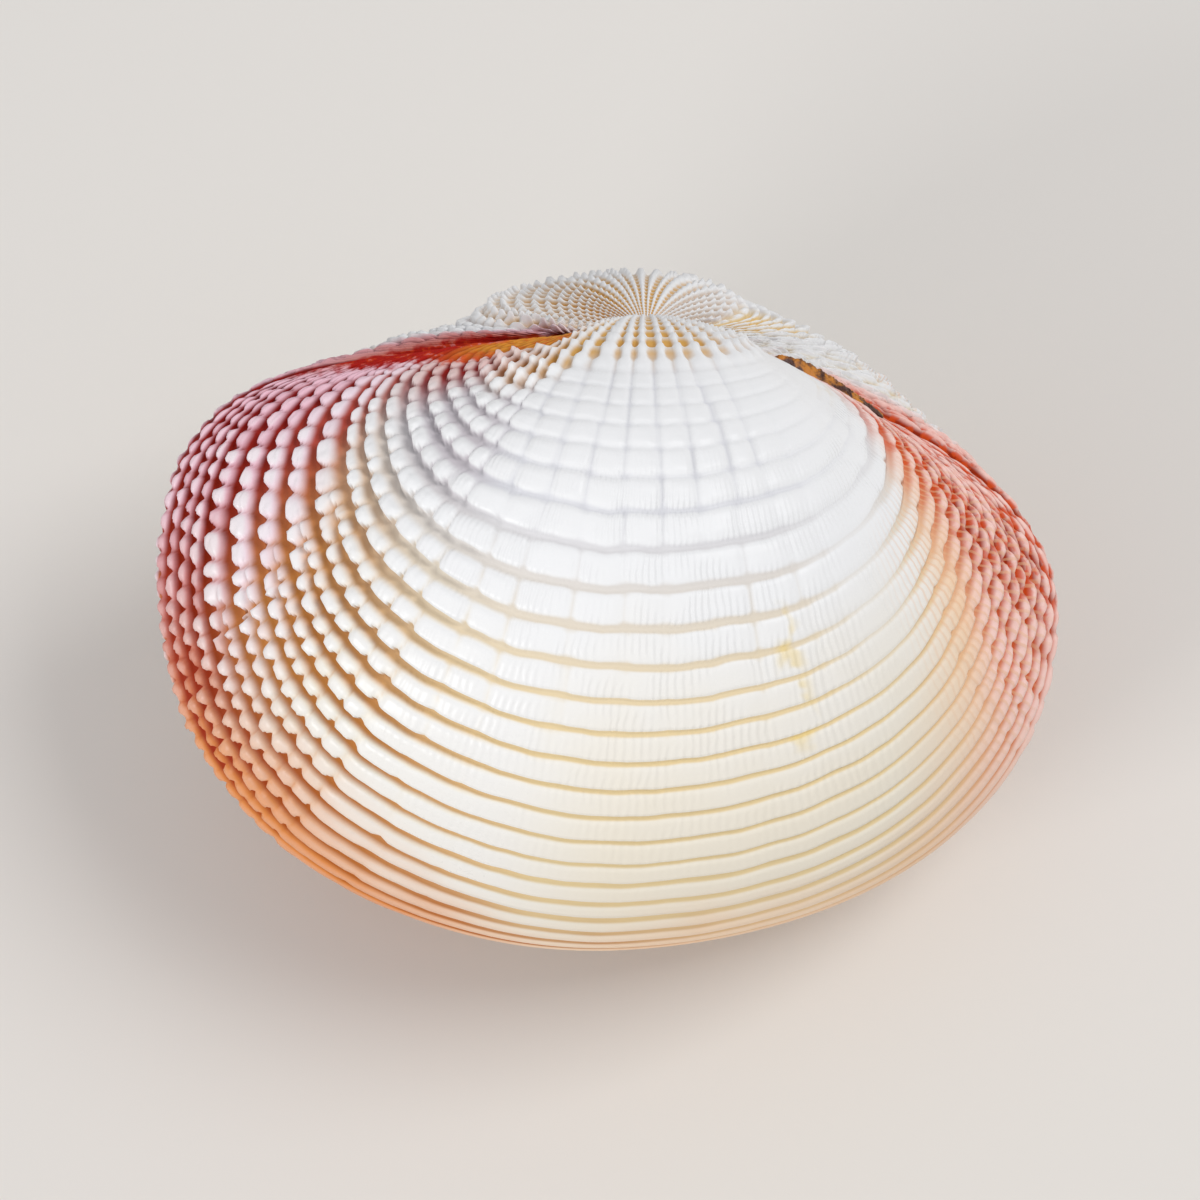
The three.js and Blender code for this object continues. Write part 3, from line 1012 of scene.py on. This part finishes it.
def groove_depth(outline, x):
    """Depth of the margin below the hinge line, on its rear upper run."""
    beak = Vector((0.0, -outline.hinge_clearance))
    rear = Vector((outline.rear_reach, -outline.rear_drop))
    handle = Vector((math.cos(outline.rear_slope), -math.sin(outline.rear_slope)))
    rear_handle = rear + Vector((0.0, outline.rear_upper))
    beak_handle = beak + handle * outline.rear_shoulder
    samples = [
        bezier(rear, rear_handle, beak_handle, beak, step / GROOVE_SAMPLES)
        for step in range(GROOVE_SAMPLES + 1)
    ]
    return -min(samples, key=lambda sample: abs(sample.x - x)).y


def ligament_ring(outline, rest, along):
    """Points round the ligament at one place along it: flat below, arched and cracked above."""
    x = rest.ligament_start + (rest.ligament_end - rest.ligament_start) * along
    fullness = 0.4 + 0.6 * math.sqrt(max(math.sin(math.pi * along), 0.0))
    half_width = rest.ligament_half_width * fullness
    height = rest.ligament_front + (rest.ligament_rear - rest.ligament_front) * along
    bottom = rest.ligament_clearance - groove_depth(outline, x)
    lower = []
    upper = []
    for step in range(LIGAMENT_STEPS):
        across = 2 * step / (LIGAMENT_STEPS - 1) - 1
        arch = 0.5 + 0.5 * math.cos(across * math.pi / 2)
        lower.append(Vector((x, bottom, across * half_width)))
        point = Vector((x, bottom + height * fullness * arch, -across * half_width))
        rough = noise.noise(point * CRACK_WAVES) + 0.6 * noise.noise(point * FINE_CRACK_WAVES)
        point.y += CRACK_HEIGHT * rough * fullness
        upper.append(point)
    return lower + upper


def ligament_mesh(outline, rest):
    """A cracked strip with an arched top along the groove behind the beaks."""
    points = []
    for station in range(LIGAMENT_STATIONS + 1):
        points += ligament_ring(outline, rest, station / LIGAMENT_STATIONS)
    ring = 2 * LIGAMENT_STEPS
    faces = []
    for station in range(LIGAMENT_STATIONS):
        for step in range(ring):
            first = station * ring + step
            second = station * ring + (step + 1) % ring
            faces.append((first + ring, second + ring, second, first))
    faces.append(tuple(range(ring)))
    faces.append(tuple(range(LIGAMENT_STATIONS * ring, (LIGAMENT_STATIONS + 1) * ring))[::-1])
    mesh = bpy.data.meshes.new("ligament_strip")
    lying = rest_matrix(rest)
    mesh.from_pydata([lying @ point for point in points], [], faces)
    mesh.polygons.foreach_set("use_smooth", [True] * len(mesh.polygons))
    mesh.update()
    return mesh


def floor_object(look):
    """A level square under the shell."""
    corners = [(x * FLOOR_HALF, y * FLOOR_HALF, 0) for x, y in ((-1, -1), (1, -1), (1, 1), (-1, 1))]
    mesh = bpy.data.meshes.new("floor")
    mesh.from_pydata(corners, [], [(0, 1, 2, 3)])
    mesh.materials.append(floor_finish(look))
    return bpy.data.objects.new("floor", mesh)


def light_object(name, location, size, watts):
    """A soft square light that faces the shell."""
    data = bpy.data.lights.new(name, "AREA")
    data.size = size
    data.energy = watts
    light = bpy.data.objects.new(name, data)
    light.location = location
    aim = Vector(LIGHT_TARGET) - Vector(location)
    light.rotation_euler = aim.to_track_quat("-Z", "Y").to_euler()
    return light


def soft_sky(look):
    """Even light from all round."""
    world = bpy.data.worlds.new("soft_sky")
    world.use_nodes = True
    background = world.node_tree.nodes["Background"]
    background.inputs["Color"].default_value = (*look.sky, 1.0)
    background.inputs["Strength"].default_value = look.sky_strength
    return world


def camera_object(look, rest):
    """The camera, placed from the beak and the shell's own axes."""
    data = bpy.data.cameras.new("camera")
    data.lens = look.lens
    data.sensor_width = SENSOR_WIDTH
    data.clip_start = CLIP_START
    camera = bpy.data.objects.new("camera", data)
    to_camera = (
        Matrix.Rotation(look.camera_roll, 4, "Z")
        @ Matrix.Rotation(look.camera_pitch, 4, "X")
        @ Matrix.Rotation(look.camera_yaw, 4, "Y")
    )
    offset = Vector((-look.camera_side, -look.camera_rise, look.camera_distance))
    in_shell = to_camera.inverted() @ Matrix.Translation(offset)
    camera.matrix_world = rest_matrix(rest) @ in_shell
    return camera


class ValvesOperator(bpy.types.Operator):
    """Grow the left and the right valve"""

    bl_idname = "shell.valves"
    bl_label = "Grow valves"

    def execute(self, context):
        finish = shell_finish(context.scene.shell_colours)
        for name, side, seed, lunule_reach in VALVES:
            valve = grown_valve(name + "_grown", side, seed, lunule_reach, finish)
            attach(valve, "root")
            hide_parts(name)
        return {"FINISHED"}


class LigamentOperator(bpy.types.Operator):
    """Lay the ligament in the groove behind the beaks"""

    bl_idname = "shell.ligament"
    bl_label = "Lay ligament"

    def execute(self, context):
        scene = context.scene
        mesh = ligament_mesh(scene.shell_outline, scene.shell_rest)
        mesh.materials.append(ligament_finish(scene.shell_colours))
        strip = bpy.data.objects.new("ligament_strip", mesh)
        scene.collection.objects.link(strip)
        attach(strip, "root")
        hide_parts("ligament")
        return {"FINISHED"}


class StageOperator(bpy.types.Operator):
    """Set the floor, the lights and the camera"""

    bl_idname = "shell.stage"
    bl_label = "Set stage"

    def execute(self, context):
        scene = context.scene
        look = scene.shell_stage
        floor = floor_object(look)
        key = light_object("key", look.key_place, look.key_size, look.key_power)
        fill = light_object("fill", look.fill_place, look.fill_size, look.fill_power)
        camera = camera_object(look, scene.shell_rest)
        for piece in (floor, key, fill, camera):
            scene.collection.objects.link(piece)
        scene.world = soft_sky(look)
        scene.view_settings.view_transform = "Standard"
        scene.camera = camera
        return {"FINISHED"}


class ShellPanel(bpy.types.Panel):
    """Steps that build the shell"""

    bl_idname = "VIEW3D_PT_shell"
    bl_label = "Shell"
    bl_space_type = "VIEW_3D"
    bl_region_type = "UI"
    bl_category = "Shell"

    def draw(self, context):
        for operator in OPERATORS:
            self.layout.operator(operator.bl_idname)
        for name in GROUPS:
            group = getattr(context.scene, name)
            for setting in settings_of(type(group)):
                self.layout.prop(group, setting.identifier)


OPERATORS = (ValvesOperator, LigamentOperator, StageOperator)
GROUPS = {
    "shell_outline": ShellOutline,
    "shell_growth": ShellGrowth,
    "shell_sculpture": ShellSculpture,
    "shell_colours": ShellColours,
    "shell_rest": ShellRest,
    "shell_stage": StageLook,
}


def register():
    for group in (*GROUPS.values(), *OPERATORS, ShellPanel):
        bpy.utils.register_class(group)
    for name, group in GROUPS.items():
        setattr(bpy.types.Scene, name, PointerProperty(type=group))


def unregister():
    for name in GROUPS:
        delattr(bpy.types.Scene, name)
    for group in reversed((*GROUPS.values(), *OPERATORS, ShellPanel)):
        bpy.utils.unregister_class(group)


def main():
    register()
    bpy.ops.shell.valves()
    bpy.ops.shell.ligament()
    bpy.ops.shell.stage()


if __name__ == "__main__":
    main()
